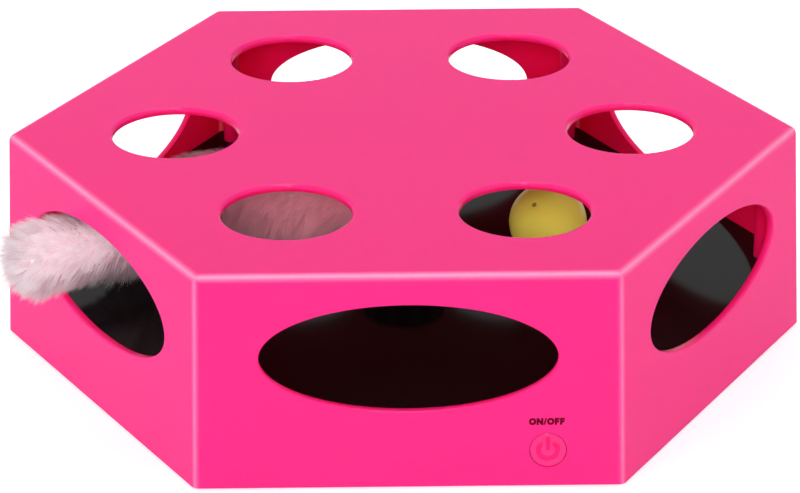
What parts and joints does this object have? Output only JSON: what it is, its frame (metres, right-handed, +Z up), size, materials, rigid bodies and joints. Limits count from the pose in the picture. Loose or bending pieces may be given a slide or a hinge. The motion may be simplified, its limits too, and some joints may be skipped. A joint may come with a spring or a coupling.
{
  "type": "cat toy",
  "caption": "Low hexagonal cat toy: a hood with round roof holes and oval side openings over a motor-driven hub that sweeps a furry worm past them, with a loose ball.",
  "frame": {"origin": "centre of the base on the surface that the feet stand on", "axes": "+Z up, +X along two opposite corners toward the right of the switch wall, the wall with the button faces -Y"},
  "size_m": [0.2864, 0.2488, 0.0779],
  "materials": {
    "pink_plastic": "moulded gloss",
    "black_gloss_plastic": "polished mould",
    "black_matte_plastic": "fine texture",
    "white_gear_plastic": "natural acetal",
    "screw_steel": "zinc plated",
    "bright_steel": "bright",
    "nickel_strip": "nickel plated",
    "pinion_brass": "machined",
    "bearing_plastic": "moulded",
    "ferrule_aluminium": "crimped",
    "core_plastic": "flexible rod",
    "white_fur": "long pile faux fur",
    "ball_plastic": "moulded",
    "foot_rubber": "moulded",
    "board_laminate": "paper laminate",
    "capacitor_sleeve": "shrink sleeve",
    "cell_jacket": "printed jacket",
    "wire_jacket": "soft jacket"
  },
  "bodies": {
    "housing": {"outer_shell": "pink_plastic", "deck_plate": "black_gloss_plastic", "bottom_cover": "black_matte_plastic", "rubber_feet": "foot_rubber", "shell_screws": "screw_steel", "gearbox_tray": "white_gear_plastic", "gearbox_lid": "white_gear_plastic", "gearbox_screws": "screw_steel", "gear_pins": "bright_steel", "shaft_bush": "bearing_plastic", "motor_can": "bright_steel", "motor_end_cap": "black_matte_plastic", "motor_terminals": "nickel_strip", "circuit_board": "board_laminate", "board_screws": "screw_steel", "push_switch": "black_matte_plastic", "control_chip": "black_matte_plastic", "capacitor": "capacitor_sleeve", "wire_sockets": "white_gear_plastic", "motor_leads": "wire_jacket", "battery_leads": "wire_jacket", "battery_cells": "cell_jacket", "contact_plates": "nickel_strip"},
    "rotor": {"rotor_hub": "black_gloss_plastic", "rotor_cap": "black_gloss_plastic", "rotor_screw": "screw_steel", "output_shaft": "white_gear_plastic", "output_gear": "white_gear_plastic", "tail_ferrule": "ferrule_aluminium", "tail_core": "core_plastic", "tail_plush": "white_fur"},
    "second_wheel": {"second_gear": "white_gear_plastic"},
    "first_wheel": {"first_gear": "white_gear_plastic"},
    "motor_rotor": {"motor_shaft": "bright_steel", "motor_pinion": "pinion_brass"},
    "button": {"power_button": "pink_plastic", "switch_plunger": "white_gear_plastic"},
    "door": {"battery_door": "black_matte_plastic"},
    "loose_ball": {"ball": "ball_plastic"}
  },
  "joints": [
    {"name": "hub_spin", "type": "hinge", "parent": "housing", "child": "rotor", "pos_m": [0, 0, 0.0366], "axis": [0, 0, 1], "continuous": true, "deforming": ["tail_plush", "tail_core"]},
    {"name": "second_gear_spin", "type": "hinge", "parent": "housing", "child": "second_wheel", "pos_m": [0, -0.01808, 0.0144], "axis": [0, 0, 1], "continuous": true},
    {"name": "first_gear_spin", "type": "hinge", "parent": "housing", "child": "first_wheel", "pos_m": [0.01508, -0.01808, 0.0144], "axis": [0, 0, 1], "continuous": true},
    {"name": "motor_spin", "type": "hinge", "parent": "housing", "child": "motor_rotor", "pos_m": [0.03016, -0.01808, 0.0192], "axis": [0, 0, 1], "continuous": true},
    {"name": "button_press", "type": "slide", "parent": "housing", "child": "button", "axis": [0, 1, 0], "range_m": [0, 0.0015], "stiffness_N_per_m": 400, "springref_m": -0.0005},
    {"name": "door_swing", "type": "hinge", "parent": "housing", "child": "door", "pos_m": [0, 0.0852, 0.0029], "axis": [1, 0, 0], "range_deg": [0, 75]},
    {"name": "ball_orbit", "type": "hinge", "parent": "housing", "child": "loose_ball", "pos_m": [0, 0, 0.0275], "axis": [0, 0, 1], "range_deg": [-170, 105]}
  ],
  "couplings": [
    {"joint": "second_gear_spin", "follows": "hub_spin", "ratio": -5},
    {"joint": "first_gear_spin", "follows": "hub_spin", "ratio": 20},
    {"joint": "motor_spin", "follows": "hub_spin", "ratio": -100}
  ]
}
